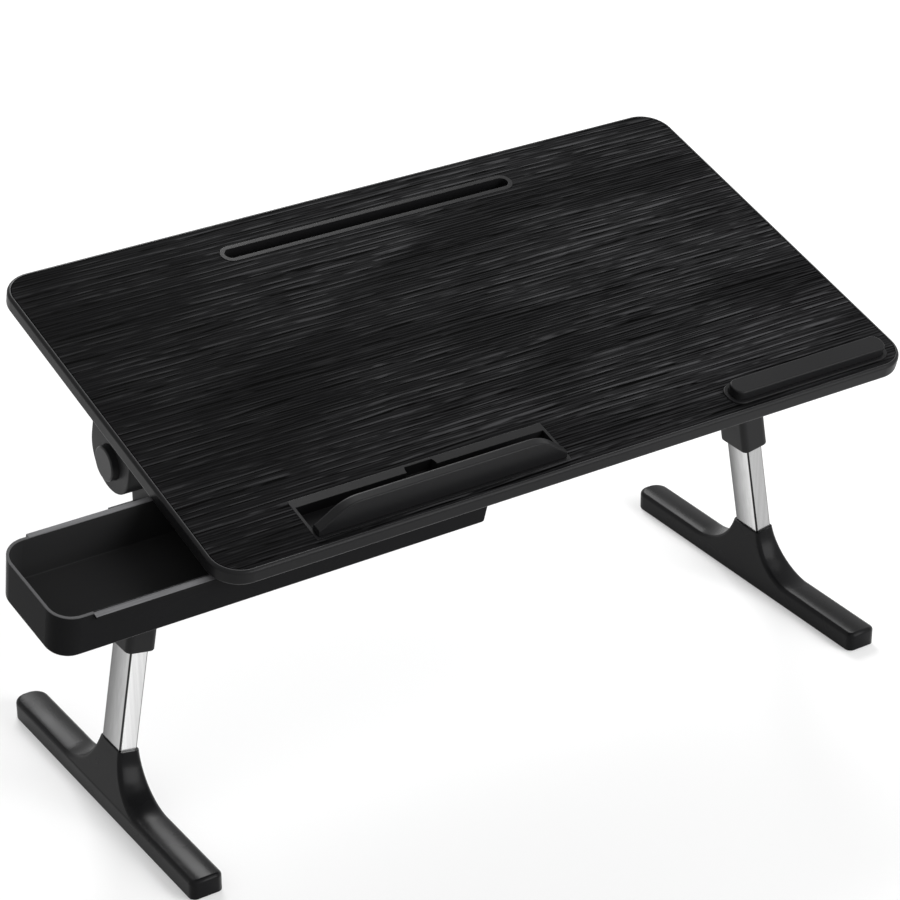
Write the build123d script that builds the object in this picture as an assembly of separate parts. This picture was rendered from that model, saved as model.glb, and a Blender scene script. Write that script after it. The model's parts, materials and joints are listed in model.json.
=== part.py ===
from build123d import *
import math
import os

# Folding bed table: a tilting tabletop with a pull-out drawer, a folding stopper, a pop-up
# stopper and a tablet slot, on a base with two legs that slide in sleeves and fold inwards.
# Lengths are in millimetres and angles in degrees. X runs along the front edge to the right,
# Y from front to back and Z up. The build frame has its origin on the floor between the two
# feet. The finished part is moved so that its origin is the centre of its box's base.
# Tabletop pieces are drawn flat about the tilt axis, and leg pieces upright about the fold
# axis, on the right side. Left pieces are mirror images.

# Tabletop
top_width = 520.0
top_depth = 300.0
top_thickness = 11.0
top_corner_radius = 21.0
trim_width = 2.4
trim_edge_radius = 2.3
board_edge_chamfer = 0.5
seam_gap = 0.15
tilt_at_rest = 15.2

# Tilt axis
pivot_from_front = 155.3
pivot_below_top = 39.8
pivot_above_fold_axis = 55.0

# Drawer and its guides
drawer_length = 303.0
drawer_width = 72.8
drawer_height = 32.8
drawer_end_skew = 5.0
drawer_wall = 1.8
drawer_floor = 2.0
drawer_left_corner = 16.0
drawer_right_corner = 3.0
drawer_bottom_radius = 2.5
drawer_draft = 2.0
drawer_from_front = 53.8
drawer_below_board = 1.4
drawer_inset = 6.0
drawer_pulled_out = 107.0
flange_width = 2.8
flange_thickness = 2.0
flange_below_rim = 0.8
front_flange_start = 27.5
rear_flange_start = 21.5
flange_end = 8.0
rim_step = 2.0
guide_wall = 2.5
guide_gap = 0.4
guide_lip = 2.8
guide_play = 0.3
guide_past_drawer = 21.0
guide_tab_length = 14.0
guide_tab_reach = 10.0
guide_tab_thickness = 1.1
drawer_stop_length = 5.0

# Laptop stopper
flap_length = 178.5
flap_height = 19.0
flap_thickness = 7.5
flap_from_left = 69.8
flap_from_front = 10.0
flap_end_height = 4.0
flap_slope = 19.0
flap_top_curve = 26.0
flap_front_radius = 1.0
flap_back_radius = 2.0
flap_knuckle_radius = 4.0
flap_gap = 0.3
tray_wall = 2.0
tray_floor = 1.2
tray_back_margin = 7.0
finger_scoop_radius = 11.0
hinge_pin_radius = 1.5
hinge_pin_length = 11.0
hinge_pin_in_wall = 1.5

# Mouse stopper
block_length = 124.0
block_depth = 14.0
block_height = 7.4
block_from_right = 15.0
block_from_front = 16.5
block_corner = 6.0
block_edge_radius = 1.0
block_below_surface = 1.9
block_travel = 6.4
block_gap = 0.35
block_tray_wall = 1.3
block_rim_margin = 3.0
block_rim_height = 1.0
block_rim_sunk = 0.6

# Tablet slot
slot_length = 222.0
slot_width = 9.5
slot_from_back = 33.0
slot_depth = 8.5
slot_bezel = 3.2
slot_bezel_height = 0.3
slot_floor = 1.2

# Tilt lugs, buttons and axles
lug_inset = 10.0
lug_thickness = 20.5
lug_radius = 25.0
lug_arc_above_axis = 3.6
lug_arc_behind_axis = 1.4
lug_web = 11.5
lug_flange_thickness = 3.0
lug_flange_depth = 76.0
lug_flange_width = 26.0
lug_flange_corner = 4.0
lug_screw_from_side = 5.4
lug_screw_from_end = 6.4
button_radius = 11.5
button_gap = 0.4
button_protrusion = 5.0
button_depth_in_lug = 4.0
button_wall = 1.6
button_face = 2.0
button_edge_radius = 1.2
axle_radius = 5.0
axle_head_radius = 8.0
axle_head_thickness = 2.7
axle_depth_in_block = 12.0
axle_head_gap = 0.2
running_gap = 0.05
washer_radius = 14.0
washer_thickness = 0.7
lug_to_block = 1.0
button_spring_wire = 1.2
button_spring_radius = 8.6
button_spring_turns = 4
spring_gap = 0.2

# Base
block_length_x = 35.0
end_block_radius = 16.2
block_base_height = 14.0
shoulder_thickness = 4.0
crossbar_depth = 26.0
crossbar_height = 16.0
crossbar_wall = 1.8
crossbar_corner = 2.0
crossbar_below_pivot = 3.0
crossbar_in_block = 21.0
bar_screw_from_face = 6.0
bar_screw_pitch = 9.0
bar_screw_sunk = 1.0
ear_thickness = 3.5
ear_radius = 11.0
ear_gap = 0.8
fold_washer_thickness = 0.6
fold_washer_radius = 8.0
stop_wall = 3.0
sleeve_to_block = 1.0
stop_gap = 0.2
fold_axis_past_block_face = 5.4
fold_pin_radius = 3.0
fold_pin_head_radius = 5.0
fold_pin_head = 1.6
fold_pin_end = 1.0

# Legs
fold_axis_height = 191.0
leg_forward = 6.3
leg_splay = 10.0
sleeve_width = 21.0
sleeve_depth = 30.5
sleeve_corner = 4.5
sleeve_mouth_radius = 1.2
sleeve_head = 12.0
tube_width = 13.0
tube_depth = 24.5
tube_wall = 1.2
tube_corner = 1.5
tube_inner_corner = 0.5
tube_gap = 0.2
retract_travel = 24.0
extend_travel = 18.0
plug_cap = 1.5
plug_spigot = 6.0
plug_clearance = 0.5
tube_end_land = 6.0
bush_length = 8.0
bush_wall = 1.0
lock_from_mouth = 10.5
lock_stem_radius = 2.4
lock_cap_radius = 5.2
lock_cap_wall = 1.0
lock_cap_face = 1.2
lock_cap_height = 3.6
lock_boss_radius = 7.2
lock_boss_height = 3.0
lock_stem_inside = 4.5
lock_rest_gap = 2.2
lock_spring_wire = 0.7
lock_spring_radius = 3.5
lock_spring_turns = 3

# Feet
foot_length = 255.0
foot_width = 23.0
foot_inset = 4.1
foot_set_back = 6.0
foot_bar_height = 14.0
foot_top_radius = 2.8
foot_back_corner = 10.0
foot_front_corner = 4.5
pylon_height = 46.0
pylon_end_rim = 1.9
pylon_side_rim = 1.0
pylon_front_reach = 49.0
pylon_back_reach = 58.0
pylon_land = 1.0
side_strip_height = 10.5
socket_floor = 10.0
foot_screw_grip = 5.0
foot_screw_offset = 6.25
pad_length = 58.0
pad_width = 15.0
pad_corner = 3.75
pad_thickness = 2.0
pad_protrusion = 0.8
pad_from_end = 14.0
nut_block_length = 18.0
thread_end_gap = 1.0

# Screws
guide_screw = {"radius": 1.3, "head": 2.5, "head_height": 1.2, "length": 7.0}
lug_screw = {"radius": 1.6, "head": 3.2, "head_height": 1.6, "length": 10.0}
bar_screw = {"radius": 1.8, "head": 3.4, "head_height": 2.2, "length": 14.0}
foot_screw = {"radius": 1.7, "head": 3.4, "head_height": 2.2, "length": 20.0}
screw_gap = 0.08

# Cutting shapes run past the faces that they cut, and joined shapes run in, by this much
cut_past = 1.0
snap = 0.01

# Places that follow from the sizes, in the tabletop's flat frame about the tilt axis
top_face = pivot_below_top
underside = top_face - top_thickness
front_edge = -pivot_from_front
board_centre_y = front_edge + top_depth / 2
drawer_axis_y = front_edge + drawer_from_front
drawer_closed_left = -top_width / 2 + drawer_inset
drawer_left = drawer_closed_left - drawer_pulled_out
drawer_right = drawer_left + drawer_length
drawer_rim = underside - drawer_below_board
flange_top = drawer_rim - flange_below_rim
flap_centre_x = -top_width / 2 + flap_from_left + flap_length / 2
flap_pivot_y = front_edge + flap_from_front + flap_knuckle_radius
flap_pivot_z = top_face - flap_knuckle_radius
block_centre_x = top_width / 2 - block_from_right - block_length / 2
block_y = front_edge + block_from_front
slot_y = front_edge + top_depth - slot_from_back

# Places that follow from the sizes, in the build frame
pivot_height = fold_axis_height + pivot_above_fold_axis
lug_face_x = top_width / 2 - lug_inset
lug_back_x = lug_face_x - lug_thickness
lug_web_x = lug_back_x + lug_web
block_face_x = lug_back_x - lug_to_block
block_inner_x = block_face_x - block_length_x
fold_axis_x = block_face_x + fold_axis_past_block_face
leg_y = -leg_forward
block_bottom = fold_axis_height + sleeve_width / 2 + sleeve_to_block
foot_centre_x = fold_axis_x + fold_axis_height * math.tan(math.radians(leg_splay)) - foot_inset
foot_y = leg_y + foot_set_back
leg_length = fold_axis_height / math.cos(math.radians(leg_splay))

# Places along the leg, measured down from the fold axis
cavity_top = sleeve_head
tube_top = cavity_top + plug_clearance + retract_travel + plug_cap
slot_top = tube_top + tube_end_land
lock_place = slot_top + extend_travel + lock_stem_radius + tube_gap
slot_bottom = lock_place + retract_travel + lock_stem_radius + tube_gap
sleeve_mouth = lock_place + lock_from_mouth
rim_place = leg_length - pylon_height / math.cos(math.radians(leg_splay))
tube_bottom = leg_length - socket_floor

tabletop_place = Pos(0, 0, pivot_height) * Rot(tilt_at_rest, 0, 0)
leg_place = Pos(fold_axis_x, leg_y, fold_axis_height) * Rot(0, -leg_splay, 0)


# Basic shapes
def block(x0, x1, y0, y1, z0, z1):
    size = Box(x1 - x0, y1 - y0, z1 - z0)
    return Pos((x0 + x1) / 2, (y0 + y1) / 2, (z0 + z1) / 2) * size


def rod_x(radius, x0, x1, y=0.0, z=0.0):
    return Pos((x0 + x1) / 2, y, z) * Rot(0, 90, 0) * Cylinder(radius, abs(x1 - x0))


def rod_y(radius, y0, y1, x=0.0, z=0.0):
    return Pos(x, (y0 + y1) / 2, z) * Rot(90, 0, 0) * Cylinder(radius, abs(y1 - y0))


def rod_z(radius, z0, z1, x=0.0, y=0.0):
    return Pos(x, y, (z0 + z1) / 2) * Cylinder(radius, abs(z1 - z0))


def rounded_plate(width, depth, radius, z0, z1, x=0.0, y=0.0):
    return Pos(x, y, z0) * extrude(RectangleRounded(width, depth, radius), z1 - z0)


def slot_plate(length, width, z0, z1, y):
    return Pos(0, y, z0) * extrude(SlotOverall(length, width), z1 - z0)


def screw(kind, x, y, seat):
    """Pan head below the seat height and shank above it, pointing up."""
    head = rod_z(kind["head"], seat - kind["head_height"], seat, x, y)
    return head + rod_z(kind["radius"], seat, seat + kind["length"], x, y)


def screw_hole(kind, x, y, z0, z1):
    return rod_z(kind["radius"] + screw_gap, z0, z1, x, y)


def coil(wire, radius, turns, height):
    """Open round-wire compression spring that rises from z=0 along Z."""
    rise = height - wire
    path = Pos(0, 0, wire / 2) * Helix(rise / turns, rise, radius)
    section = Plane(origin=path @ 0, z_dir=path % 0) * Circle(wire / 2)
    return sweep(section, path, is_frenet=True)


def mirrored(piece):
    return mirror(piece, about=Plane.YZ)


# Tabletop
def edge_trim():
    outer = rounded_plate(
        top_width, top_depth, top_corner_radius, underside, top_face, 0, board_centre_y
    )
    outer = fillet(outer.faces().sort_by(Axis.Z)[-1].edges(), trim_edge_radius)
    outer = fillet(outer.faces().sort_by(Axis.Z)[0].edges(), trim_edge_radius)
    inner = rounded_plate(
        top_width - 2 * trim_width,
        top_depth - 2 * trim_width,
        top_corner_radius - trim_width,
        underside - cut_past,
        top_face + cut_past,
        0,
        board_centre_y,
    )
    return outer - inner


def guide_tab_places():
    """X of each screw tab, left and right of the laptop stopper's tray."""
    first = drawer_closed_left + front_flange_start + guide_tab_length
    tray_end = flap_centre_x + flap_length / 2 + flap_gap + tray_wall
    last = drawer_closed_left + drawer_length + guide_past_drawer / 2
    return [first, tray_end + guide_tab_length, last]


def guide_screw_places(side):
    y = drawer_axis_y + side * (drawer_width / 2 - guide_tab_reach / 2)
    return [(x, y) for x in guide_tab_places()]


def lug_screw_places():
    offset_y = lug_flange_depth / 2 - lug_screw_from_end
    inner_x = lug_face_x - lug_flange_width + lug_screw_from_side
    outer_x = lug_face_x - lug_screw_from_side
    return [(x, y) for x in (inner_x, outer_x) for y in (-offset_y, offset_y)]


def tabletop_board():
    inset = trim_width + seam_gap
    board = rounded_plate(
        top_width - 2 * inset,
        top_depth - 2 * inset,
        top_corner_radius - inset,
        underside,
        top_face,
        0,
        board_centre_y,
    )
    board = chamfer(board.faces().sort_by(Axis.Z)[-1].edges(), board_edge_chamfer)
    board -= flap_tray_outline(seam_gap)
    board -= rounded_plate(
        *block_tray_size(seam_gap),
        block_corner,
        block_tray_bottom() - seam_gap,
        top_face + cut_past,
        block_centre_x,
        block_y,
    )
    board -= rounded_plate(
        *block_rim_size(seam_gap),
        block_corner + block_rim_margin,
        top_face - block_rim_sunk,
        top_face + cut_past,
        block_centre_x,
        block_y,
    )
    board -= slot_plate(
        *slot_insert_size(seam_gap),
        top_face - slot_depth - slot_floor - seam_gap,
        top_face + cut_past,
        slot_y,
    )
    for side in (-1, 1):
        for x, y in guide_screw_places(side):
            top = underside - guide_tab_thickness + guide_screw["length"]
            board -= screw_hole(guide_screw, x, y, underside - cut_past, top + screw_gap)
        for x, y in lug_screw_places():
            top = underside - lug_flange_thickness + lug_screw["length"]
            board -= screw_hole(lug_screw, side * x, y, underside - cut_past, top + screw_gap)
    return board


# Laptop stopper, drawn standing
def flap_tray_bottom():
    return flap_pivot_z - flap_knuckle_radius - flap_gap - tray_floor


def flap_tray_outline(gap):
    half = flap_length / 2 + flap_gap + tray_wall + gap
    front = front_edge + flap_from_front - flap_gap - tray_wall - gap
    back = flap_pivot_y + flap_knuckle_radius + flap_height + tray_back_margin + gap
    return block(
        flap_centre_x - half,
        flap_centre_x + half,
        front,
        back,
        flap_tray_bottom() - gap,
        top_face + (cut_past if gap else 0),
    )


def laptop_stopper_tray():
    half = flap_length / 2 + flap_gap
    y0 = front_edge + flap_from_front - flap_gap
    y1 = flap_pivot_y + flap_knuckle_radius + flap_height + flap_gap
    floor = flap_tray_bottom() + tray_floor
    x0, x1 = flap_centre_x - half, flap_centre_x + half
    tray = flap_tray_outline(0) - block(x0, x1, y0, y1, floor, top_face + cut_past)
    scoop = rod_z(finger_scoop_radius, floor, top_face + cut_past, flap_centre_x, y1)
    scoop_back = y1 + tray_back_margin - tray_wall
    tray -= scoop & block(x0, x1, y0, scoop_back, floor, top_face + cut_past)
    for side in (-1, 1):
        tray -= rod_x(
            hinge_pin_radius + running_gap,
            flap_centre_x + side * (half - cut_past),
            flap_centre_x + side * (half + hinge_pin_in_wall),
            flap_pivot_y,
            flap_pivot_z,
        )
    return tray


def laptop_stopper():
    half = flap_length / 2
    top = top_face + flap_height
    low = top_face + flap_end_height
    points = [
        (-half, flap_pivot_z),
        (-half, low),
        (flap_slope - half, top),
        (half - flap_slope, top),
        (half, low),
        (half, flap_pivot_z),
    ]
    outline = make_face(Polyline(*points, close=True))
    corners = outline.vertices().group_by(Axis.Y)[-1]
    outline = fillet(corners, flap_top_curve)
    plate = extrude(Plane.XZ * outline, flap_thickness)
    front_y = flap_pivot_y - flap_knuckle_radius
    plate = Pos(flap_centre_x, front_y + flap_thickness, 0) * plate
    for edge_y, radius in ((front_y, flap_front_radius), (front_y + flap_thickness, flap_back_radius)):
        rims = plate.edges().filter_by(Axis.Y, reverse=True)
        rims = [edge for edge in rims if abs(edge.center().Y - edge_y) < snap]
        plate = fillet([edge for edge in rims if edge.center().Z > low], radius)
    knuckle = rod_x(
        flap_knuckle_radius,
        flap_centre_x - half,
        flap_centre_x + half,
        flap_pivot_y,
        flap_pivot_z,
    )
    flap = plate + knuckle
    for side in (-1, 1):
        flap -= rod_x(
            hinge_pin_radius + running_gap,
            flap_centre_x + side * (half + cut_past),
            flap_centre_x + side * (half - hinge_pin_length),
            flap_pivot_y,
            flap_pivot_z,
        )
    return flap


def stopper_hinge_pins():
    half = flap_length / 2 + flap_gap
    outer = half + hinge_pin_in_wall - running_gap
    pins = [
        rod_x(
            hinge_pin_radius,
            flap_centre_x + side * outer,
            flap_centre_x + side * (outer - hinge_pin_length),
            flap_pivot_y,
            flap_pivot_z,
        )
        for side in (-1, 1)
    ]
    return Compound(pins)


# Mouse stopper, drawn raised
def block_tray_size(gap):
    extra = 2 * (block_gap + block_tray_wall + gap)
    return block_length + extra, block_depth + extra


def block_rim_size(gap):
    extra = 2 * (block_rim_margin + gap)
    return block_length + extra, block_depth + extra


def block_tray_bottom():
    return top_face - block_below_surface - block_travel - block_gap - tray_floor


def mouse_stopper_tray():
    body = rounded_plate(
        *block_tray_size(0),
        block_corner,
        block_tray_bottom(),
        top_face,
        block_centre_x,
        block_y,
    )
    rim = rounded_plate(
        *block_rim_size(0),
        block_corner + block_rim_margin,
        top_face - block_rim_sunk,
        top_face + block_rim_height,
        block_centre_x,
        block_y,
    )
    rim = fillet(rim.faces().sort_by(Axis.Z)[-1].edges(), block_rim_height / 2)
    cavity = rounded_plate(
        block_length + 2 * block_gap,
        block_depth + 2 * block_gap,
        block_corner + block_gap,
        block_tray_bottom() + tray_floor,
        top_face + block_rim_height + cut_past,
        block_centre_x,
        block_y,
    )
    return body + rim - cavity


def mouse_stopper():
    bar = rounded_plate(
        block_length,
        block_depth,
        block_corner,
        top_face - block_below_surface,
        top_face + block_height,
        block_centre_x,
        block_y,
    )
    return fillet(bar.faces().sort_by(Axis.Z)[-1].edges(), block_edge_radius)


# Tablet slot
def slot_insert_size(gap):
    extra = 2 * (slot_bezel + gap)
    return slot_length + extra, slot_width + extra


def tablet_slot_insert():
    top = top_face + slot_bezel_height
    body = slot_plate(*slot_insert_size(0), top_face - slot_depth - slot_floor, top, slot_y)
    body = fillet(body.faces().sort_by(Axis.Z)[-1].edges(), slot_bezel_height / 2)
    return body - slot_plate(slot_length, slot_width, top_face - slot_depth, top + cut_past, slot_y)


# Drawer
def drawer_block(inset, height, bottom_radius):
    """Drafted tray shape below the rim, drawn inside the drawer's outline by inset."""
    half_x, half_y = drawer_length / 2, drawer_width / 2
    points = [
        (-half_x, half_y),
        (drawer_end_skew - half_x, -half_y),
        (half_x, -half_y),
        (half_x, half_y),
    ]
    plan = make_face(Polyline(*points, close=True))
    left_corners = [corner for corner in plan.vertices() if corner.X < 0]
    plan = fillet(left_corners, drawer_left_corner)
    plan = fillet(plan.vertices().group_by(Axis.X)[-1], drawer_right_corner)
    if inset:
        plan = offset(plan, -inset)
    tray = extrude(plan, height, dir=(0, 0, -1), taper=drawer_draft)
    tray = fillet(tray.faces().sort_by(Axis.Z)[0].edges(), bottom_radius)
    centre_x = drawer_left + drawer_length / 2
    return Pos(centre_x, drawer_axis_y, drawer_rim) * tray


def drawer():
    tray = drawer_block(0, drawer_height, drawer_bottom_radius)
    for side, start in ((-1, front_flange_start), (1, rear_flange_start)):
        near = drawer_axis_y + side * (drawer_width / 2 - drawer_wall)
        far = drawer_axis_y + side * (drawer_width / 2 + flange_width)
        edges = sorted((near, far))
        tray += block(
            drawer_left + start,
            drawer_right - flange_end,
            *edges,
            flange_top - flange_thickness,
            flange_top,
        )
        tray -= block(
            drawer_left + start,
            drawer_right + cut_past,
            *edges,
            flange_top,
            drawer_rim + cut_past,
        )
    tray -= drawer_block(drawer_wall, drawer_height - drawer_floor, drawer_bottom_radius - drawer_wall)
    tray -= block(
        drawer_right - flange_end,
        drawer_right + cut_past,
        drawer_axis_y - drawer_width,
        drawer_axis_y + drawer_width,
        flange_top - rim_step,
        drawer_rim + cut_past,
    )
    return tray


def drawer_guide(side):
    """Channel under the board: a web, a lip below the drawer's flange and screw tabs."""
    x0 = drawer_closed_left + front_flange_start + cut_past
    x1 = drawer_closed_left + drawer_length + guide_past_drawer
    web = drawer_width / 2 + flange_width + guide_gap
    lip = drawer_width / 2 + guide_gap
    lip_top = flange_top - flange_thickness - guide_play
    lip_bottom = lip_top - guide_lip

    def bar(near, far, z0, z1, left=x0, right=x1):
        edges = sorted((drawer_axis_y + side * near, drawer_axis_y + side * far))
        return block(left, right, edges[0], edges[1], z0, z1)

    guide = bar(web, web + guide_wall, lip_bottom, underside)
    guide += bar(lip, web, lip_bottom, lip_top)
    stop_x = drawer_closed_left + drawer_length - flange_end + guide_gap
    stop_top = drawer_rim + drawer_below_board - guide_tab_thickness
    guide += bar(lip, web, lip_top, stop_top, stop_x, stop_x + drawer_stop_length)
    for x in guide_tab_places():
        tab = bar(
            drawer_width / 2 - guide_tab_reach,
            web,
            underside - guide_tab_thickness,
            underside,
            x - guide_tab_length / 2,
            x + guide_tab_length / 2,
        )
        guide += tab
    for x, y in guide_screw_places(side):
        tab_bottom = underside - guide_tab_thickness
        guide -= screw_hole(guide_screw, x, y, tab_bottom - cut_past, underside + cut_past)
    return guide


def drawer_guide_screws():
    seat = underside - guide_tab_thickness
    places = guide_screw_places(-1) + guide_screw_places(1)
    return Compound([screw(guide_screw, x, y, seat) for x, y in places])


# Tilt lugs and buttons, right side, in the tabletop's flat frame
def tilt_lug():
    y, z = lug_arc_behind_axis, lug_arc_above_axis
    plate = rod_x(lug_radius, lug_back_x, lug_face_x, y, z)
    plate -= block(lug_back_x, lug_face_x, y - lug_radius, y + lug_radius, z, z + lug_radius)
    plate += block(lug_back_x, lug_face_x, y - lug_radius, y + lug_radius, z, underside)
    rim = plate.faces().sort_by(Axis.X)[-1].edges()
    plate = fillet(rim.sort_by(Axis.Z)[:-1], button_edge_radius)
    flange = block(
        lug_face_x - lug_flange_width,
        lug_face_x,
        -lug_flange_depth / 2,
        lug_flange_depth / 2,
        underside - lug_flange_thickness,
        underside,
    )
    flange = fillet(flange.edges().filter_by(Axis.Z), lug_flange_corner)
    lug = plate + flange
    lug -= rod_x(button_radius + button_gap, lug_web_x, lug_face_x + cut_past)
    lug -= rod_x(axle_radius + running_gap, lug_back_x - cut_past, lug_web_x + cut_past)
    for x, y in lug_screw_places():
        lug -= screw_hole(lug_screw, x, y, 0, underside + cut_past)
    return lug


def lug_screws():
    seat = underside - lug_flange_thickness
    return [screw(lug_screw, x, y, seat) for x, y in lug_screw_places()]


def tilt_button():
    outer_x = lug_face_x + button_protrusion
    inner_x = lug_face_x - button_depth_in_lug
    cap = rod_x(button_radius, inner_x, outer_x)
    cap = fillet(cap.edges().sort_by(Axis.X)[-1], button_edge_radius)
    return cap - rod_x(button_radius - button_wall, inner_x - cut_past, outer_x - button_face)


def tilt_button_spring():
    space = lug_face_x + button_protrusion - button_face - lug_web_x
    height = space - 2 * spring_gap
    spring = coil(button_spring_wire, button_spring_radius, button_spring_turns, height)
    return Pos(lug_web_x + spring_gap, 0, 0) * Rot(0, 90, 0) * spring


# Base, right side
def tilt_axle():
    head_x = lug_web_x + axle_head_gap
    shaft = rod_x(axle_radius, block_face_x - axle_depth_in_block, head_x)
    head = rod_x(axle_head_radius, head_x, head_x + axle_head_thickness)
    return Pos(0, 0, pivot_height) * (shaft + head)


def tilt_washer():
    ring = rod_x(washer_radius, block_face_x, block_face_x + washer_thickness)
    ring -= rod_x(
        axle_radius + running_gap,
        block_face_x - cut_past,
        block_face_x + washer_thickness + cut_past,
    )
    return Pos(0, 0, pivot_height) * ring


def crossbar_centre_z():
    return pivot_height - crossbar_below_pivot


def crossbar_screw_places():
    first = block_inner_x + bar_screw_from_face
    return [(first, 0.0), (first + bar_screw_pitch, 0.0)]


def bar_screw_seat():
    return block_bottom + bar_screw["head_height"] + bar_screw_sunk


def end_block():
    """Hub about the tilt axis on a base with two ears and a stop wall for the sleeve."""
    half = end_block_radius
    ear_inner = sleeve_depth / 2 + ear_gap
    reach = ear_inner + ear_thickness
    base_top = block_bottom + block_base_height
    body = rod_x(half, block_inner_x, block_face_x, 0, pivot_height)
    body += block(block_inner_x, block_face_x, -half, half, block_bottom, pivot_height)
    body += block(block_inner_x, block_face_x, leg_y - reach, half, block_bottom, base_top)
    body += block(
        block_face_x - cut_past,
        fold_axis_x + sleeve_width / 2 + stop_wall,
        leg_y - reach,
        leg_y + reach,
        block_bottom,
        block_bottom + shoulder_thickness,
    )
    for side in (-1, 1):
        y0, y1 = sorted((leg_y + side * ear_inner, leg_y + side * reach))
        ear = rod_y(ear_radius, y0, y1, fold_axis_x, fold_axis_height)
        ear += block(
            fold_axis_x - ear_radius,
            fold_axis_x + ear_radius,
            y0,
            y1,
            fold_axis_height,
            block_bottom + cut_past,
        )
        body += ear
    wall_x = sleeve_width / 2 + stop_gap
    wall_top = block_bottom - fold_axis_height + cut_past
    body += leg_place * block(wall_x, wall_x + stop_wall, -reach, reach, -ear_radius, wall_top)
    body -= rod_x(
        axle_radius + running_gap,
        block_face_x - axle_depth_in_block - running_gap,
        block_face_x + cut_past,
        0,
        pivot_height,
    )
    body -= Pos(0, 0, crossbar_centre_z()) * block(
        block_inner_x - cut_past,
        block_inner_x + crossbar_in_block + seam_gap,
        -crossbar_depth / 2 - seam_gap,
        crossbar_depth / 2 + seam_gap,
        -crossbar_height / 2 - seam_gap,
        crossbar_height / 2 + seam_gap,
    )
    body -= rod_y(
        fold_pin_radius + running_gap,
        leg_y - reach - cut_past,
        leg_y + reach + cut_past,
        fold_axis_x,
        fold_axis_height,
    )
    for x, y in crossbar_screw_places():
        seat = bar_screw_seat()
        body -= rod_z(bar_screw["head"] + screw_gap, block_bottom - cut_past, seat, x, y)
        body -= screw_hole(bar_screw, x, y, block_bottom, crossbar_centre_z())
    return body


def crossbar():
    end = block_inner_x + crossbar_in_block
    y, z = crossbar_depth / 2, crossbar_height / 2
    bar = block(-end, end, -y, y, -z, z)
    bar = fillet(bar.edges().filter_by(Axis.X), crossbar_corner)
    wall = crossbar_wall
    bar -= block(-end - cut_past, end + cut_past, wall - y, y - wall, wall - z, z - wall)
    bar = Pos(0, 0, crossbar_centre_z()) * bar
    for x, y in crossbar_screw_places():
        for side in (-1, 1):
            bar -= screw_hole(bar_screw, side * x, y, block_bottom, crossbar_centre_z())
    return bar


def crossbar_screws():
    return [screw(bar_screw, x, y, bar_screw_seat()) for x, y in crossbar_screw_places()]


def fold_pin():
    reach = sleeve_depth / 2 + ear_gap + ear_thickness
    pin = rod_y(fold_pin_radius, -reach, reach + fold_pin_end)
    pin += rod_y(fold_pin_head_radius, -reach - fold_pin_head, -reach)
    pin = fillet(pin.edges().sort_by(Axis.Y)[0], fold_pin_head / 2)
    return Pos(fold_axis_x, leg_y, fold_axis_height) * pin


def fold_washers():
    outer = sleeve_depth / 2 + ear_gap
    inner = outer - fold_washer_thickness
    hole = rod_y(fold_pin_radius + running_gap, -outer - cut_past, outer + cut_past)
    rings = [rod_y(fold_washer_radius, side * inner, side * outer) - hole for side in (-1, 1)]
    return Pos(fold_axis_x, leg_y, fold_axis_height) * Compound(rings)


# Legs, right side, in the upright frame about the fold axis
def leg_box(width, depth, corner, s0, s1):
    return rounded_plate(width, depth, corner, -s1, -s0)


def leg_sleeve():
    sleeve = leg_box(sleeve_width, sleeve_depth, sleeve_corner, 0, sleeve_mouth)
    sleeve = fillet(sleeve.faces().sort_by(Axis.Z)[0].edges(), sleeve_mouth_radius)
    sleeve += rod_y(sleeve_width / 2, -sleeve_depth / 2, sleeve_depth / 2)
    half = sleeve_width / 2
    corner_cut = block(-half, half, -sleeve_depth / 2, sleeve_depth / 2, -sleeve_head, half)
    rounded = leg_box(sleeve_width, sleeve_depth, sleeve_corner, -half, sleeve_head)
    sleeve -= corner_cut - rounded
    sleeve += rod_y(
        lock_boss_radius,
        sleeve_depth / 2 - cut_past,
        sleeve_depth / 2 + lock_boss_height,
        0,
        -lock_place,
    )
    cavity_width = tube_width + 2 * tube_gap
    cavity_depth = tube_depth + 2 * tube_gap
    sleeve -= leg_box(cavity_width, cavity_depth, tube_corner, cavity_top, sleeve_mouth + cut_past)
    sleeve -= leg_box(
        cavity_width + 2 * bush_wall,
        cavity_depth + 2 * bush_wall,
        tube_corner + bush_wall,
        sleeve_mouth - bush_length,
        sleeve_mouth + cut_past,
    )
    sleeve -= rod_y(fold_pin_radius + running_gap, -sleeve_depth, sleeve_depth)
    sleeve -= rod_y(lock_stem_radius + tube_gap, 0, sleeve_depth, 0, -lock_place)
    sleeve -= rod_y(
        lock_cap_radius + tube_gap,
        sleeve_depth / 2,
        sleeve_depth,
        0,
        -lock_place,
    )
    return sleeve


def sleeve_bush():
    gap = seam_gap / 2
    inner_width = tube_width + 2 * tube_gap
    inner_depth = tube_depth + 2 * tube_gap
    s0 = sleeve_mouth - bush_length + gap
    outer_width = inner_width + 2 * bush_wall - 2 * gap
    outer_depth = inner_depth + 2 * bush_wall - 2 * gap
    ring = leg_box(outer_width, outer_depth, tube_corner + bush_wall, s0, sleeve_mouth)
    return ring - leg_box(inner_width, inner_depth, tube_corner, s0 - cut_past, sleeve_mouth + cut_past)


def leg_tube():
    tube = leg_box(tube_width, tube_depth, tube_corner, tube_top, tube_bottom)
    tube -= leg_box(
        tube_width - 2 * tube_wall,
        tube_depth - 2 * tube_wall,
        tube_inner_corner,
        tube_top - cut_past,
        tube_bottom + cut_past,
    )
    slot = lock_stem_radius + tube_gap
    tube -= block(-slot, slot, 0, tube_depth, -slot_bottom + slot, -slot_top - slot)
    for s in (slot_top + slot, slot_bottom - slot):
        tube -= rod_y(slot, 0, tube_depth, 0, -s)
    return tube


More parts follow.
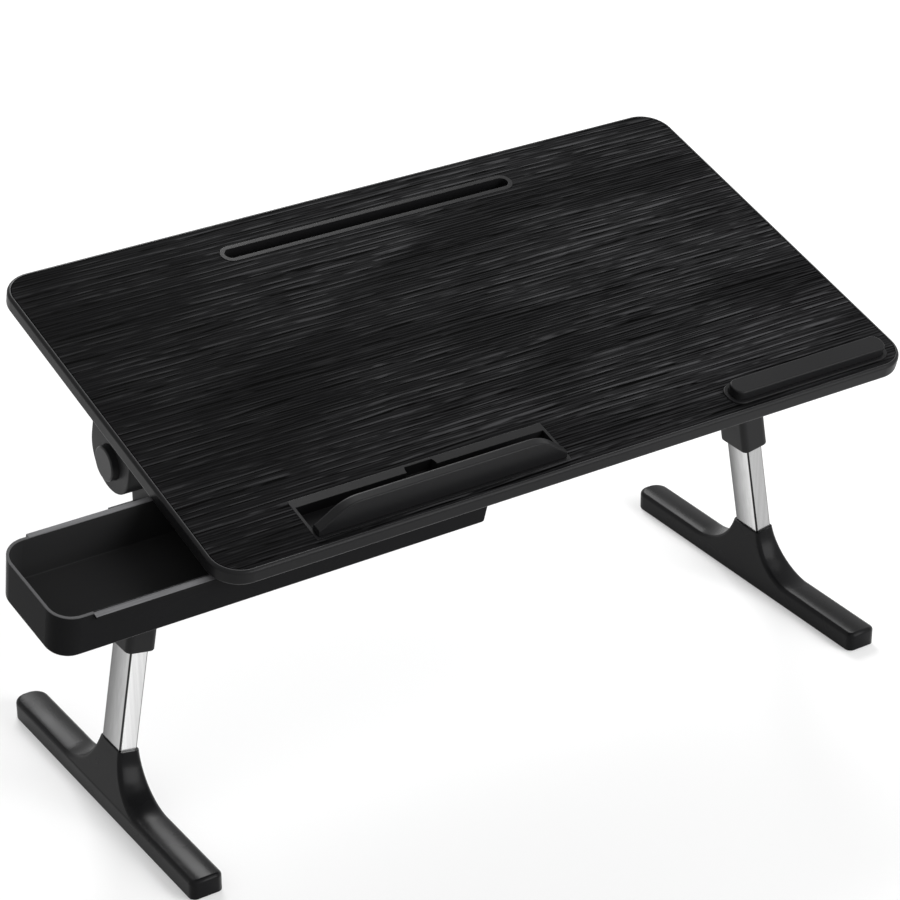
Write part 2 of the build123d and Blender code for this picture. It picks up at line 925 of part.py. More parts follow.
def tube_plug():
    gap = seam_gap / 2
    cap = leg_box(tube_width, tube_depth, tube_corner, tube_top - plug_cap, tube_top)
    width = tube_width - 2 * (tube_wall + gap)
    depth = tube_depth - 2 * (tube_wall + gap)
    return cap + leg_box(width, depth, tube_inner_corner, tube_top, tube_top + plug_spigot)


def foot_screw_places():
    return [(0.0, side * foot_screw_offset) for side in (-1, 1)]


def foot_screw_seat():
    return -tube_bottom - foot_screw_grip


def tube_nut_block():
    gap = seam_gap / 2
    width = tube_width - 2 * (tube_wall + gap)
    depth = tube_depth - 2 * (tube_wall + gap)
    nut = leg_box(width, depth, tube_inner_corner, tube_bottom - nut_block_length, tube_bottom)
    hole_top = foot_screw_seat() + foot_screw["length"] + thread_end_gap
    for x, y in foot_screw_places():
        nut -= screw_hole(foot_screw, x, y, -tube_bottom - cut_past, hole_top)
    return nut


def lock_button():
    """Cup and stem behind the sleeve: the stem runs in the tube's slot."""
    seat = sleeve_depth / 2 + lock_rest_gap
    cap = rod_y(lock_cap_radius, seat, seat + lock_cap_height)
    cap = fillet(cap.edges().sort_by(Axis.Y)[-1], lock_cap_face / 2)
    inside = seat + lock_cap_height - lock_cap_face
    cap -= rod_y(lock_cap_radius - lock_cap_wall, seat - cut_past, inside)
    stem = rod_y(lock_stem_radius, sleeve_depth / 2 - lock_stem_inside, inside + lock_cap_face / 2)
    return Pos(0, 0, -lock_place) * (cap + stem)


def lock_spring():
    space = lock_rest_gap + lock_cap_height - lock_cap_face
    height = space - 2 * spring_gap
    spring = coil(lock_spring_wire, lock_spring_radius, lock_spring_turns, height)
    return Pos(0, sleeve_depth / 2 + spring_gap, -lock_place) * Rot(-90, 0, 0) * spring


# Foot, right side, drawn upright about the middle of its bar on the floor
def pylon_half(reach):
    """Side view of one end of the pylon: a concave sweep from the bar up past the rim."""
    rim = tube_depth / 2 + pylon_end_rim
    run = reach - rim
    rise = pylon_height - foot_bar_height
    radius = (run**2 + rise**2) / (2 * rise)
    turn = math.asin(run / radius)
    middle = (
        reach - radius * math.sin(turn / 2),
        foot_bar_height + radius * (1 - math.cos(turn / 2)),
    )
    past = (rim - foot_width / math.tan(turn), pylon_height + foot_width)
    toe = reach + pylon_land
    low = foot_bar_height - foot_top_radius - cut_past
    return make_face(
        Curve()
        + [
            Line((0, low), (toe, low)),
            Line((toe, low), (toe, foot_bar_height)),
            Line((toe, foot_bar_height), (reach, foot_bar_height)),
            ThreePointArc((reach, foot_bar_height), middle, (rim, pylon_height)),
            Line((rim, pylon_height), past),
            Line(past, (0, past[1])),
            Line((0, past[1]), (0, low)),
        ]
    )


def pylon_front_profile():
    """Upright inner face, and an outer face that leans in above the side strip."""
    half = foot_width / 2
    lean = math.tan(math.radians(leg_splay))
    rim_half = tube_width / 2 / math.cos(math.radians(leg_splay)) + pylon_side_rim
    rim_outer = foot_inset - pylon_height * lean + rim_half
    slope = (half - rim_outer) / (pylon_height - side_strip_height)
    top = pylon_height + foot_width + cut_past
    points = [
        (-half, 0),
        (half, 0),
        (half, side_strip_height),
        (half - slope * (top - side_strip_height), top),
        (-half, top),
    ]
    return make_face(Polyline(*points, close=True))


def pylon():
    profile = pylon_half(pylon_back_reach) + mirror(pylon_half(pylon_front_reach), about=Plane.YZ)
    side = extrude(Plane.YZ * profile, foot_width, both=True)
    front = extrude(Plane.XZ * pylon_front_profile(), foot_length, both=True)
    body = side & front
    ramps = []
    for edge in body.edges():
        ends = (edge @ 0, edge @ 1)
        lengthwise = abs(ends[0].Y - ends[1].Y) > snap
        above_bar = min(end.Z for end in ends) > foot_bar_height - snap
        if lengthwise and above_bar and edge.center().Z < pylon_height + foot_width - snap:
            ramps.append(edge)
    return fillet(ramps, foot_top_radius)


def foot_bar():
    plan = Rectangle(foot_width, foot_length)
    plan = fillet(plan.vertices().group_by(Axis.Y)[0], foot_front_corner)
    plan = fillet(plan.vertices().group_by(Axis.Y)[-1], foot_back_corner)
    bar = extrude(plan, foot_bar_height - pad_protrusion)
    bar = fillet(bar.faces().sort_by(Axis.Z)[-1].edges(), foot_top_radius)
    return Pos(0, 0, pad_protrusion) * bar


def foot():
    body = foot_bar() + Pos(0, -foot_set_back, 0) * pylon()
    body = leg_place.inverse() * Pos(foot_centre_x, foot_y, 0) * body
    body -= block(-foot_width, foot_width, -foot_width, foot_width, -rim_place, foot_width)
    socket_width = tube_width + 2 * seam_gap
    socket_depth = tube_depth + 2 * seam_gap
    body -= leg_box(socket_width, socket_depth, tube_corner, 0, tube_bottom)
    seat = foot_screw_seat()
    for x, y in foot_screw_places():
        body -= screw_hole(foot_screw, x, y, seat - cut_past, cut_past - tube_bottom)
        body -= rod_z(foot_screw["head"] + screw_gap, -leg_length - socket_floor, seat, x, y)
    body = leg_place * body
    for place in pad_places():
        body -= place * rounded_plate(
            pad_width + 2 * seam_gap,
            pad_length + 2 * seam_gap,
            pad_corner,
            -cut_past,
            pad_thickness,
        )
    return body


def pad_places():
    front = foot_y - foot_length / 2 + pad_from_end + pad_length / 2
    back = foot_y + foot_length / 2 - pad_from_end - pad_length / 2
    return [Pos(foot_centre_x, y, 0) for y in (front, back)]


def foot_pads():
    pad = rounded_plate(pad_width, pad_length, pad_corner, 0, pad_thickness)
    return [place * pad for place in pad_places()]


def foot_screws():
    return [screw(foot_screw, x, y, foot_screw_seat()) for x, y in foot_screw_places()]


# Assembly in the build frame
def all_pieces():
    pieces = {
        "tabletop_board": tabletop_place * tabletop_board(),
        "tabletop_edge_trim": tabletop_place * edge_trim(),
        "laptop_stopper_tray": tabletop_place * laptop_stopper_tray(),
        "laptop_stopper": tabletop_place * laptop_stopper(),
        "stopper_hinge_pins": tabletop_place * stopper_hinge_pins(),
        "mouse_stopper_tray": tabletop_place * mouse_stopper_tray(),
        "mouse_stopper": tabletop_place * mouse_stopper(),
        "tablet_slot_insert": tabletop_place * tablet_slot_insert(),
        "drawer": tabletop_place * drawer(),
        "front_drawer_guide": tabletop_place * drawer_guide(-1),
        "rear_drawer_guide": tabletop_place * drawer_guide(1),
        "drawer_guide_screws": tabletop_place * drawer_guide_screws(),
        "crossbar": crossbar(),
    }
    right = {
        "tilt_lug": tabletop_place * tilt_lug(),
        "tilt_button": tabletop_place * tilt_button(),
        "tilt_button_spring": tabletop_place * tilt_button_spring(),
        "tilt_axle": tilt_axle(),
        "tilt_washer": tilt_washer(),
        "end_block": end_block(),
        "fold_pin": fold_pin(),
        "fold_washers": fold_washers(),
        "leg_sleeve": leg_place * leg_sleeve(),
        "sleeve_bush": leg_place * sleeve_bush(),
        "leg_tube": leg_place * leg_tube(),
        "tube_plug": leg_place * tube_plug(),
        "tube_nut_block": leg_place * tube_nut_block(),
        "height_lock_button": leg_place * lock_button(),
        "height_lock_spring": leg_place * lock_spring(),
        "foot": foot(),
        "foot_pads": Compound(foot_pads()),
        "foot_screws": leg_place * Compound(foot_screws()),
    }
    for name, piece in right.items():
        pieces["right_" + name] = piece
        pieces["left_" + name] = mirrored(piece)
    lug_set = [tabletop_place * piece for piece in lug_screws()]
    pieces["tilt_lug_screws"] = Compound(lug_set + [mirrored(piece) for piece in lug_set])
    bar_set = crossbar_screws()
    pieces["crossbar_screws"] = Compound(bar_set + [mirrored(piece) for piece in bar_set])
    return pieces


def main():
    os.makedirs("parts", exist_ok=True)
    pieces = all_pieces()
    box = Compound(list(pieces.values())).bounding_box()
    to_origin = Pos(-box.center().X, -box.center().Y, -box.min.Z)
    for name, piece in pieces.items():
        export_step(to_origin * piece, f"parts/{name}.step")
    print("origin of the build frame in the part frame:", to_origin.position)
    print("size:", box.size)


main()
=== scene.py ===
import json
import math

import bpy
from mathutils import Matrix, Vector

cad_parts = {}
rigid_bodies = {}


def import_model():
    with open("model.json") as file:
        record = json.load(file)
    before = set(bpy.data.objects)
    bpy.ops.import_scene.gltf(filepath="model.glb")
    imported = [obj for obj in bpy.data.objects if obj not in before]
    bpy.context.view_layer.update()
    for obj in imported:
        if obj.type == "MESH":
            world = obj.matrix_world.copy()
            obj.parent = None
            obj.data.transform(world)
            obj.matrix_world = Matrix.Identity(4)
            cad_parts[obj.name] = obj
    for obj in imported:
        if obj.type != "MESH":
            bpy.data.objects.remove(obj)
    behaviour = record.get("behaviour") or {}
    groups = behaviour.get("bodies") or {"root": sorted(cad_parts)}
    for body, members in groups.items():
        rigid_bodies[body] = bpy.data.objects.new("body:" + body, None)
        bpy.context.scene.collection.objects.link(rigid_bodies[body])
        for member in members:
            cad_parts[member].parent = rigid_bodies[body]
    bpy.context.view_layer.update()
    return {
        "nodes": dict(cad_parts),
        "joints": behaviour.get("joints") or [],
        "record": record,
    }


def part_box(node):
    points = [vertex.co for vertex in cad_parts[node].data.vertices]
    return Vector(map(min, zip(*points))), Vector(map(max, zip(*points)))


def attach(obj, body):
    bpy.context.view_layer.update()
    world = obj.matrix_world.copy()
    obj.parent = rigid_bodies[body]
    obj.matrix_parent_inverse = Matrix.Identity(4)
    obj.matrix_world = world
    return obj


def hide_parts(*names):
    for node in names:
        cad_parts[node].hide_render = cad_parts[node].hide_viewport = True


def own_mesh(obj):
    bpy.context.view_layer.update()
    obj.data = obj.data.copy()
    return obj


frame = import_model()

nodes = frame["nodes"]

# Tabletop board. The real one is a 10 mm fibreboard wrapped in a black film, which is embossed
# with an open wood grain. The grain runs along the front edge and is fainter towards the left, in
# its relief and in its colour. The colour holds painted light: pale ridges as painted glints, dark
# cracks as painted shade in the grooves, and a painted sheen that grows paler towards the right.
surface = [mount for mount in frame["record"]["mounts"] if mount["name"] == "tabletop_surface"][0]
top_normal = Vector(surface["axis"])
top_tilt = math.atan2(-top_normal.y, top_normal.z)
x_axis = (1, 0, 0)
most_of_mottle = (0.3, 0.7)  # Few blotches are darker or paler than this.


def new_finish(name, colour, roughness, specular, metallic=0.0):
    """A finish starts as one plain shader, the same all over."""
    finish = bpy.data.materials.new(name)
    finish.use_nodes = True
    shader = finish.node_tree.nodes["Principled BSDF"]
    shader.inputs["Base Color"].default_value = colour
    shader.inputs["Roughness"].default_value = roughness
    shader.inputs["Specular IOR Level"].default_value = specular
    shader.inputs["Metallic"].default_value = metallic
    return finish


def step(finish, kind, inputs, **settings):
    """One more node in the finish, with each input set to a value or linked to another node."""
    node = finish.node_tree.nodes.new("ShaderNode" + kind)
    for name, value in settings.items():
        setattr(node, name, value)
    for name, value in inputs.items():
        if isinstance(value, bpy.types.NodeSocket):
            finish.node_tree.links.new(value, node.inputs[name])
        else:
            node.inputs[name].default_value = value
    return node


def feed(finish, name, value):
    """The finish takes its colour, gloss or relief from a node, in place of one value all over."""
    shader = finish.node_tree.nodes["Principled BSDF"]
    finish.node_tree.links.new(value, shader.inputs[name])


def place_on(finish):
    """Where a point of the surface is."""
    return step(finish, "TexCoord", {}).outputs["Object"]


def facing_of(finish):
    """Which way the surface looks at that point."""
    return step(finish, "TexCoord", {}).outputs["Normal"]


def along(finish, vector, direction):
    """How far a point lies in a direction, or how squarely a face looks that way."""
    return step(finish, "VectorMath", {0: vector, 1: direction}, operation="DOT_PRODUCT").outputs["Value"]


def mottle(finish, waves, detail=2.0, turn=(0, 0, 0)):
    """Random blotches, with so many waves a metre along x, y and z."""
    laid = step(finish, "Mapping", {"Vector": place_on(finish), "Rotation": turn, "Scale": waves})
    inputs = {"Vector": laid.outputs["Vector"], "Scale": 1.0, "Detail": detail}
    return step(finish, "TexNoise", inputs).outputs["Fac"]


def spread(finish, value, span, onto=(0.0, 1.0)):
    """The value's span is spread onto another one, and stops at its ends."""
    inputs = {"Value": value, "From Min": span[0], "From Max": span[1], "To Min": onto[0], "To Max": onto[1]}
    return step(finish, "MapRange", inputs).outputs["Result"]


def maths(finish, kind, *values):
    """Blender's own sum, product or comparison of these values."""
    return step(finish, "Math", dict(enumerate(values)), operation=kind).outputs[0]


def times(finish, product, *others):
    """All these values multiplied together."""
    for other in others:
        product = maths(finish, "MULTIPLY", product, other)
    return product


def relief(finish, height, depth=1.0, **under):
    """Ridges and dents, this many metres high where the height is 1, over another relief or none."""
    return step(finish, "Bump", {"Height": height, "Distance": depth, **under}).outputs["Normal"]


def coat(finish, colour, over, share):
    """One colour laid over another, by this share."""
    return step(finish, "MixRGB", {"Fac": share, "Color1": colour, "Color2": over}).outputs[0]


def paint(finish, *names):
    """These pieces get the finish all over."""
    for name in names:
        nodes[name].data.materials.clear()
        nodes[name].data.materials.append(finish)


film_black = (0.0030, 0.0030, 0.0032, 1)
# Painted glint: the ridges of the grain, and its random haze, are painted this paler grey.
glint_and_haze_grey = (0.052, 0.052, 0.054, 1)
# Painted shade: the cracks of the grain are painted this darker black, as shade in the grooves.
groove_shade_black = (0.0010, 0.0010, 0.0010, 1)
hollow_roughness = 0.55
ridge_roughness = 0.38
film_relief = 0.0001
grain_turn = (-top_tilt, 0, 0)
line_run = (0.05, 1, 1)  # A line runs twenty times as far along the board as across it.
line_waver = 6.0
line_gap = 0.0052
fine_line_gap = 0.0023
wave_at_scale_one = 0.314  # Metres from one wave to the next.
ridge_phase = 0.0
crack_phase = 1.4
ridge_crest = (0.76, 0.95)
crack_crest = (0.68, 0.90)
fine_crest = (0.60, 1.0)
fine_strength = 0.25
break_waves = (36, 260, 260)
break_edge = (0.43, 0.55)
patch_waves = (7, 22, 22)
patch_edge = (0.38, 0.58)
patch_strength = (0.2, 1.0)
fibre_waves = (40, 1000, 1000)
fibre_strength = (0.02, 0.26)
# Painted sheen: the grain's pale colour and its relief run from faint at the left to full at the right.
sheen_fade_x = (-0.20, 0.10)
sheen_fade_strength = (0.35, 1.0)
film = new_finish("black_wood_film", film_black, roughness=hollow_roughness, specular=0.005)


def grain_lines(gap, phase, crest):
    """Wavering lines along the board, so far apart, which show where the wave rises into its crest."""
    laid = step(film, "Mapping", {"Vector": place_on(film), "Rotation": grain_turn, "Scale": line_run})
    inputs = {
        "Vector": laid.outputs["Vector"],
        "Scale": wave_at_scale_one / gap,
        "Distortion": line_waver,
        "Detail": 2.0,
        "Detail Scale": 1.6,
        "Phase Offset": phase,
    }
    wave = step(film, "TexWave", inputs, wave_type="BANDS", bands_direction="Y").outputs["Fac"]
    return spread(film, wave, crest)


breaks = spread(film, mottle(film, break_waves, turn=grain_turn), break_edge)
patches = spread(film, mottle(film, patch_waves, turn=grain_turn), patch_edge, patch_strength)
fibres = spread(film, mottle(film, fibre_waves, turn=grain_turn), most_of_mottle, fibre_strength)
# Painted sheen: a fade along x that leaves the pale ridges and haze brighter towards the right; it also
# weakens the relief at the left.
grain_and_sheen_fade = spread(film, along(film, place_on(film), x_axis), sheen_fade_x, sheen_fade_strength)
ridges = times(film, grain_lines(line_gap, ridge_phase, ridge_crest), breaks, patches, grain_and_sheen_fade)
cracks = times(film, grain_lines(line_gap, crack_phase, crack_crest), breaks)
fine_lines = times(film, grain_lines(fine_line_gap, ridge_phase, fine_crest), fine_strength)
haze = times(film, maths(film, "ADD", times(film, fibres, patches), fine_lines), grain_and_sheen_fade)
# Painted light in the colour: painted sheen in the haze, painted shade in the cracks, painted glints on the
# ridges.
tone = coat(film, film_black, glint_and_haze_grey, haze)
tone = coat(film, tone, groove_shade_black, cracks)
tone = coat(film, tone, glint_and_haze_grey, ridges)
feed(film, "Base Color", tone)
height = maths(film, "SUBTRACT", ridges, cracks)
feed(film, "Normal", relief(film, height, film_relief))
feed(film, "Roughness", spread(film, height, (0, 1), (hollow_roughness, ridge_roughness)))
paint(film, "tabletop_board")

# Edge trim. A soft black plastic edging pressed round the board. Its rim, where it looks straight
# up, is painted paler as a painted highlight, a narrow shiny line beside the film.
trim_black = (0.010, 0.010, 0.0105, 1)
painted_highlight_grey = (0.05, 0.05, 0.051, 1)
highlight_facing = (0.97, 0.999)
broken_edge_radius = 0.0005
cloud_waves = (22, 22, 22)
uneven_gloss = 0.05


def moulded_black(name, colour, roughness, specular, grain_size, grain_depth):
    """Injection-moulded plastic: fine mould texture, broken edges and slightly uneven gloss."""
    finish = new_finish(name, colour, roughness, specular)
    edge = step(finish, "Bevel", {"Radius": broken_edge_radius}, name="broken_edge", samples=4).outputs[0]
    grain = mottle(finish, (1 / grain_size, 1 / grain_size, 1 / grain_size))
    inputs = {"Height": grain, "Distance": grain_depth, "Normal": edge}
    feed(finish, "Normal", step(finish, "Bump", inputs, name="mould_texture").outputs["Normal"])
    glossiest, dullest = roughness - uneven_gloss, roughness + uneven_gloss
    cloud = mottle(finish, cloud_waves, detail=3.0)
    feed(finish, "Roughness", spread(finish, cloud, most_of_mottle, (glossiest, dullest)))
    return finish


trim_plastic = moulded_black(
    "trim_plastic", trim_black, roughness=0.34, specular=0.09, grain_size=0.0007, grain_depth=0.00002
)
# Painted highlight: the faces that look straight up are painted grey.
upward = along(trim_plastic, facing_of(trim_plastic), top_normal)
crest = spread(trim_plastic, upward, highlight_facing)
feed(trim_plastic, "Base Color", coat(trim_plastic, trim_black, painted_highlight_grey, crest))
paint(trim_plastic, "tabletop_edge_trim")

# Laptop stopper, mouse stopper and tablet slot. Small satin mouldings that are let into the
# board. The laptop stopper turns on two steel pins, and the mouse stopper sinks into its tray.
satin_black = (0.008, 0.008, 0.0085, 1)
satin_plastic = moulded_black(
    "satin_plastic", satin_black, roughness=0.36, specular=0.11, grain_size=0.0006, grain_depth=0.00002
)
paint(satin_plastic, "laptop_stopper", "laptop_stopper_tray")
paint(satin_plastic, "mouse_stopper", "mouse_stopper_tray", "tablet_slot_insert")

# Drawer. A thin-walled tray of glossier plastic. The flanges along its long walls slide in two
# guides screwed under the board. The rim and the upper faces of the flanges are painted pale as
# painted highlights, broken at random, and dimmed to a tenth under the board as painted shadow.
# The faces inside the tray are painted paler as painted light.
outside_black = (0.010, 0.010, 0.0105, 1)
# Painted light: the faces inside the tray are painted paler than the outside of the same plastic.
painted_lit_inside_black = (0.023, 0.023, 0.0235, 1)
# Painted highlight on the top of the walls.
rim_highlight_grey = (0.09, 0.09, 0.092, 1)
# Painted highlight on the flanges' upper faces.
flange_highlight_grey = (0.16, 0.16, 0.165, 1)
guide_black = (0.018, 0.018, 0.018, 1)
flange_below_surface = 0.0132
flange_tolerance = 0.0003
rim_above_flange = 0.0004
square_on = 0.9
# Painted shadow of the board: the painted highlights drop to a tenth where the drawer is still under it.
pulled_out_x = -0.195
board_shade_fades_over = 0.01
board_shade_strength = (1.0, 0.1)
highlight_break_waves = (30, 900, 900)
highlight_break_edge = (0.3, 0.6)
highlight_break_strength = (0.75, 1.0)
drawer_plastic = moulded_black(
    "drawer_plastic", outside_black, roughness=0.24, specular=0.012, grain_size=0.0009, grain_depth=0.000015
)
guide_plastic = moulded_black(
    "guide_plastic", guide_black, roughness=0.55, specular=0.4, grain_size=0.0006, grain_depth=0.00003
)
flange_plane = Vector(surface["pos_m"]).dot(top_normal) - flange_below_surface
low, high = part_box("drawer")
drawer_middle = (Vector(low) + Vector(high)) / 2
point = place_on(drawer_plastic)
normal = facing_of(drawer_plastic)
outwards = step(drawer_plastic, "VectorMath", {0: point, 1: drawer_middle}, operation="SUBTRACT").outputs[0]
inside = maths(drawer_plastic, "LESS_THAN", along(drawer_plastic, normal, outwards), 0.0)
upward = maths(drawer_plastic, "GREATER_THAN", along(drawer_plastic, normal, top_normal), square_on)
level = along(drawer_plastic, point, top_normal)
flange = maths(drawer_plastic, "COMPARE", level, flange_plane, flange_tolerance)
rim = maths(drawer_plastic, "GREATER_THAN", level, flange_plane + rim_above_flange)
x = along(drawer_plastic, point, x_axis)
clear_of_board_shade = spread(drawer_plastic, x, (pulled_out_x, pulled_out_x + board_shade_fades_over), board_shade_strength)
# The painted highlights on the flanges are broken up at random.
highlight_breaks = spread(drawer_plastic, mottle(drawer_plastic, highlight_break_waves), highlight_break_edge, highlight_break_strength)
# Painted light on the faces inside the tray.
tone = coat(drawer_plastic, outside_black, painted_lit_inside_black, inside)
# Painted highlights on the rim and the flanges, dimmed under the board as painted shadow.
tone = coat(drawer_plastic, tone, rim_highlight_grey, times(drawer_plastic, rim, clear_of_board_shade))
tone = coat(drawer_plastic, tone, flange_highlight_grey, times(drawer_plastic, flange, upward, highlight_breaks, clear_of_board_shade))
feed(drawer_plastic, "Base Color", tone)
paint(drawer_plastic, "drawer")
paint(guide_plastic, "front_drawer_guide", "rear_drawer_guide")

# Tilt lugs, end blocks and leg sleeves. Glass-filled nylon with a fine mould texture, screwed to
# the board and to the crossbar. The push buttons in them are a smoother plastic.
nylon_black = (0.014, 0.014, 0.0145, 1)
button_black = (0.020, 0.020, 0.021, 1)
nylon = moulded_black(
    "textured_nylon", nylon_black, roughness=0.46, specular=0.13, grain_size=0.0005, grain_depth=0.00004
)
button_plastic = moulded_black(
    "button_plastic", button_black, roughness=0.40, specular=0.2, grain_size=0.0006, grain_depth=0.00002
)
for side in ("left", "right"):
    paint(nylon, f"{side}_tilt_lug", f"{side}_end_block", f"{side}_leg_sleeve")
    paint(button_plastic, f"{side}_tilt_button", f"{side}_height_lock_button")

# Feet. Satin-gloss plastic on rubber pads. The top of each foot swells slightly from edge to
# edge, so the light slides along it.
foot_black = (0.008, 0.008, 0.0085, 1)
rubber_black = (0.02, 0.02, 0.02, 1)
foot_swell = 14.0  # Times the square of the distance from the middle line, in metres.
rubber = moulded_black(
    "pad_rubber", rubber_black, roughness=0.8, specular=0.3, grain_size=0.0008, grain_depth=0.00005
)
for side in ("left", "right"):
    finish_name = f"{side}_foot_plastic"
    foot_plastic = moulded_black(
        finish_name, foot_black, roughness=0.26, specular=0.07, grain_size=0.0008, grain_depth=0.00002
    )
    low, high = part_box(f"{side}_foot")
    x = along(foot_plastic, place_on(foot_plastic), x_axis)
    from_middle = maths(foot_plastic, "SUBTRACT", x, (low[0] + high[0]) / 2)
    swell = times(foot_plastic, from_middle, from_middle, -foot_swell)
    edge = foot_plastic.node_tree.nodes["broken_edge"].outputs[0]
    crown = relief(foot_plastic, swell, Normal=edge)
    texture = foot_plastic.node_tree.nodes["mould_texture"]
    foot_plastic.node_tree.links.new(crown, texture.inputs["Normal"])
    paint(foot_plastic, f"{side}_foot")
    paint(rubber, f"{side}_foot_pads")

# Leg tubes. Drawn aluminium of oblong section, polished along its length. Its colour holds painted
# light: each flat face is painted lighter and darker across it as a painted reflection, the two tubes
# differently, and the tight corners are painted dark as painted shade.
tube_width = 0.013
aluminium_grey = (0.6, 0.6, 0.61, 1)
# Painted reflection: each tube's front face runs from the first tone to the second, left to right.
front_reflection_tones = {"left": (0.95, 0.70), "right": (0.42, 0.39)}
# Painted reflection: each tube's side face runs from the first tone at the front to the second at the back.
flank_reflection_tones = {"left": (0.50, 0.12), "right": (0.74, 0.07)}
corner_turn = (0.15, 0.4)
# Painted shade: the tight corners are painted dark.
corner_shade_tones = (1.0, 0.04)
band_waves = (400, 400, 3)
band_tones = (0.93, 1.07)
draw_mark_waves = (2500, 2500, 12)
draw_mark_depth = 0.000004
y_axis = (0, 1, 0)
slides = {joint["name"]: Vector(joint["axis"]) for joint in frame["joints"]}
for side in ("left", "right"):
    tube_metal = new_finish(
        f"{side}_polished_aluminium", aluminium_grey, roughness=0.22, specular=0.5, metallic=1.0
    )
    rightwards = Vector(y_axis).cross(slides[f"{side}_leg_height"]).normalized()
    if rightwards.x < 0:
        rightwards.negate()
    low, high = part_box(f"{side}_leg_tube")
    middle = (Vector(low) + Vector(high)) / 2
    left_flank = middle.dot(rightwards) - tube_width / 2
    point = place_on(tube_metal)
    normal = facing_of(tube_metal)
    across = along(tube_metal, point, rightwards)
    depth = along(tube_metal, point, y_axis)
    sideways = maths(tube_metal, "ABSOLUTE", along(tube_metal, normal, rightwards))
    forwards = maths(tube_metal, "ABSOLUTE", along(tube_metal, normal, y_axis))
    on_flank = maths(tube_metal, "GREATER_THAN", sideways, forwards)
    # Painted reflection on the faces and painted shade in the corners.
    front = spread(tube_metal, across, (left_flank, left_flank + tube_width), front_reflection_tones[side])
    flank = spread(tube_metal, depth, (low[1], high[1]), flank_reflection_tones[side])
    face = spread(tube_metal, on_flank, (0, 1), (front, flank))
    bands = spread(tube_metal, mottle(tube_metal, band_waves), most_of_mottle, band_tones)
    turned = maths(tube_metal, "MINIMUM", sideways, forwards)
    corner = spread(tube_metal, turned, corner_turn, corner_shade_tones)
    tone = times(tube_metal, face, bands, corner)
    grey = step(tube_metal, "CombineColor", {"Red": tone, "Green": tone, "Blue": tone})
    feed(tube_metal, "Base Color", grey.outputs[0])
    feed(tube_metal, "Normal", relief(tube_metal, mottle(tube_metal, draw_mark_waves), draw_mark_depth))
    paint(tube_metal, f"{side}_leg_tube")

# Pieces hidden underneath and inside. Screws, pins, axles, washers and springs are zinc-plated
# steel, the crossbar is powder-coated, and the tubes slide in pale plastic liners.
zinc_grey = (0.32, 0.32, 0.33, 1)
liner_grey = (0.15, 0.15, 0.15, 1)
powder_black = (0.012, 0.012, 0.0125, 1)
steel = new_finish("zinc_steel", zinc_grey, roughness=0.38, specular=0.5, metallic=1.0)
liner_plastic = moulded_black(
    "liner_plastic", liner_grey, roughness=0.5, specular=0.4, grain_size=0.0008, grain_depth=0.00002
)
black_metal = moulded_black(
    "powder_coat", powder_black, roughness=0.5, specular=0.4, grain_size=0.0004, grain_depth=0.00003
)
paint(black_metal, "crossbar")
paint(steel, "drawer_guide_screws", "tilt_lug_screws", "crossbar_screws", "stopper_hinge_pins")
for side in ("left", "right"):
    paint(steel, f"{side}_tilt_button_spring", f"{side}_tilt_axle", f"{side}_tilt_washer")
    paint(steel, f"{side}_fold_pin", f"{side}_fold_washers", f"{side}_height_lock_spring")
    paint(steel, f"{side}_foot_screws")
    paint(liner_plastic, f"{side}_sleeve_bush", f"{side}_tube_plug", f"{side}_tube_nut_block")

# Return springs. Coiled steel wire behind each button, with one end fixed in its pocket.
joined_within = 0.000001
smooth_below = math.radians(40)
for joint in frame["joints"]:
    for row in joint.get("deforming_nodes", []):
        along_axis = "xyz".index(row["mode"][-1])
        direction = Vector((0, 0, 0))
        direction[along_axis] = 1
        low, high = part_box(row["node"])
        coil = bpy.data.objects.new(row["node"].replace("spring", "coil"), nodes[row["node"]].data.copy())
        bpy.context.scene.collection.objects.link(coil)
        bpy.ops.object.select_all(action="DESELECT")
        coil.select_set(True)
        bpy.context.view_layer.objects.active = coil
        bpy.ops.object.mode_set(mode="EDIT")
        bpy.ops.mesh.select_all(action="SELECT")
        bpy.ops.mesh.remove_doubles(threshold=joined_within)
        bpy.ops.object.mode_set(mode="OBJECT")
        bpy.ops.object.shade_smooth_by_angle(angle=smooth_below)
        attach(coil, joint["parent"])
        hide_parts(row["node"])
        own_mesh(coil)

# Studio floor. A matt white sweep, which keeps the soft shadow under the feet. It glows for the
# eye and in reflections, and more so far out, where it meets the white room.
sweep_size = 40
below_feet = 0.0002
sweep_white = (0.62, 0.62, 0.62, 1)
glow_white = (1, 1, 1, 1)
glow_reach = (1.5, 4.0)
glow_strength = (0.34, 0.66)


def looked_at(finish):
    """1 for the eye, a reflection or a see-through piece, and 0 for light that falls on the table."""
    rays = step(finish, "LightPath", {}).outputs
    seen = maths(finish, "MAXIMUM", rays["Is Camera Ray"], rays["Is Glossy Ray"])
    return maths(finish, "MAXIMUM", seen, rays["Is Transmission Ray"])


bpy.ops.mesh.primitive_plane_add(size=sweep_size, location=(0, 0, -below_feet))
floor = bpy.context.object
floor.name = "studio_floor"
white = new_finish("studio_white", sweep_white, roughness=0.9, specular=0.0)
from_table = step(white, "VectorMath", {0: place_on(white)}, operation="LENGTH").outputs["Value"]
strength = times(white, looked_at(white), spread(white, from_table, glow_reach, glow_strength))
glow = step(white, "Emission", {"Color": glow_white, "Strength": strength}).outputs[0]
matt = white.node_tree.nodes["Principled BSDF"].outputs[0]
both = step(white, "AddShader", {0: matt, 1: glow}).outputs[0]
white.node_tree.links.new(both, white.node_tree.nodes["Material Output"].inputs["Surface"])
floor.data.materials.append(white)

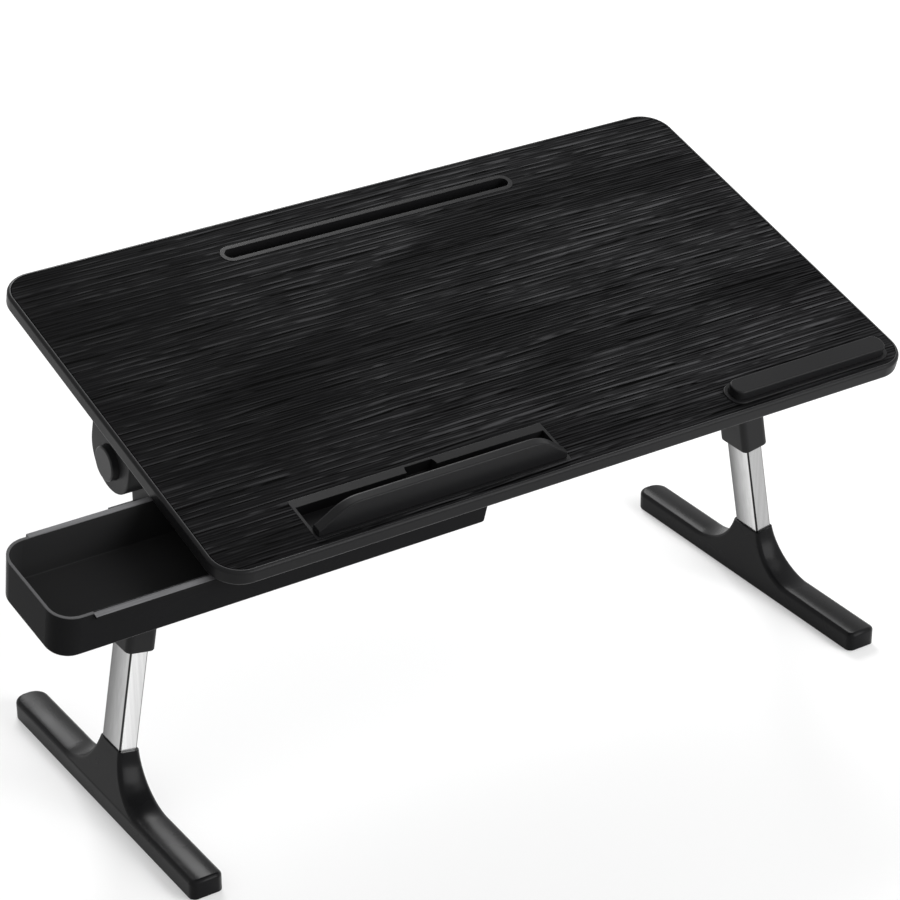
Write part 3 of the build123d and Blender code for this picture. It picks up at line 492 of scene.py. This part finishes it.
# Studio light. A pale, even room, a large soft lamp overhead at the back, and two weaker ones at
# the right front, which light the trim and the faces that look forwards.
room_white = (1, 1, 1, 1)
room_strength = (0.55, 1.0)
world = bpy.data.worlds.new("studio")
bpy.context.scene.world = world
world.use_nodes = True
room = world.node_tree.nodes["Background"]
room.inputs["Color"].default_value = room_white
world.node_tree.links.new(spread(world, looked_at(world), (0, 1), room_strength), room.inputs["Strength"])


def soft_lamp(name, place, aim, size, watts):
    """A square soft box of this size, hung at a place and turned to its aim."""
    data = bpy.data.lights.new(name, "AREA")
    data.shape = "SQUARE"
    data.size = size
    data.energy = watts
    lamp = bpy.data.objects.new(name, data)
    bpy.context.scene.collection.objects.link(lamp)
    lamp.location = place
    lamp.rotation_euler = (Vector(aim) - Vector(place)).to_track_quat("-Z", "Y").to_euler()


soft_lamp("back_lamp", place=(0.65, 2.0, 2.1), aim=(0, 0, 0.1), size=1.3, watts=60)
soft_lamp("edge_lamp", place=(1.2, -1.1, 1.9), aim=(0, 0, 0.2), size=1.0, watts=8)
soft_lamp("front_lamp", place=(0.9, -2.0, 0.9), aim=(0, 0, 0.1), size=1.4, watts=40)

# Camera, at the photograph's viewing angle. It stands two metres off, in front of the table and
# to its left, and looks down at it through a long lens.
azimuth = math.radians(-32.988)
elevation = math.radians(28.317)
roll = math.radians(-0.240)
camera_place = (-0.91706, -1.46424, 1.12974)
lens = 119.88
sensor_width = 36
sees_as_far_as = 60
back_x = math.sin(azimuth) * math.cos(elevation)
back_y = -math.cos(azimuth) * math.cos(elevation)
back = Vector((back_x, back_y, math.sin(elevation)))
camera_data = bpy.data.cameras.new("camera")
camera_data.lens = lens
camera_data.sensor_width = sensor_width
camera_data.clip_end = sees_as_far_as
camera = bpy.data.objects.new("camera", camera_data)
bpy.context.scene.collection.objects.link(camera)
camera.location = camera_place
turn = (-back).to_track_quat("-Z", "Y").to_matrix() @ Matrix.Rotation(roll, 3, "Z")
camera.rotation_euler = turn.to_euler()
bpy.context.scene.camera = camera
bpy.context.scene.view_settings.view_transform = "Standard"
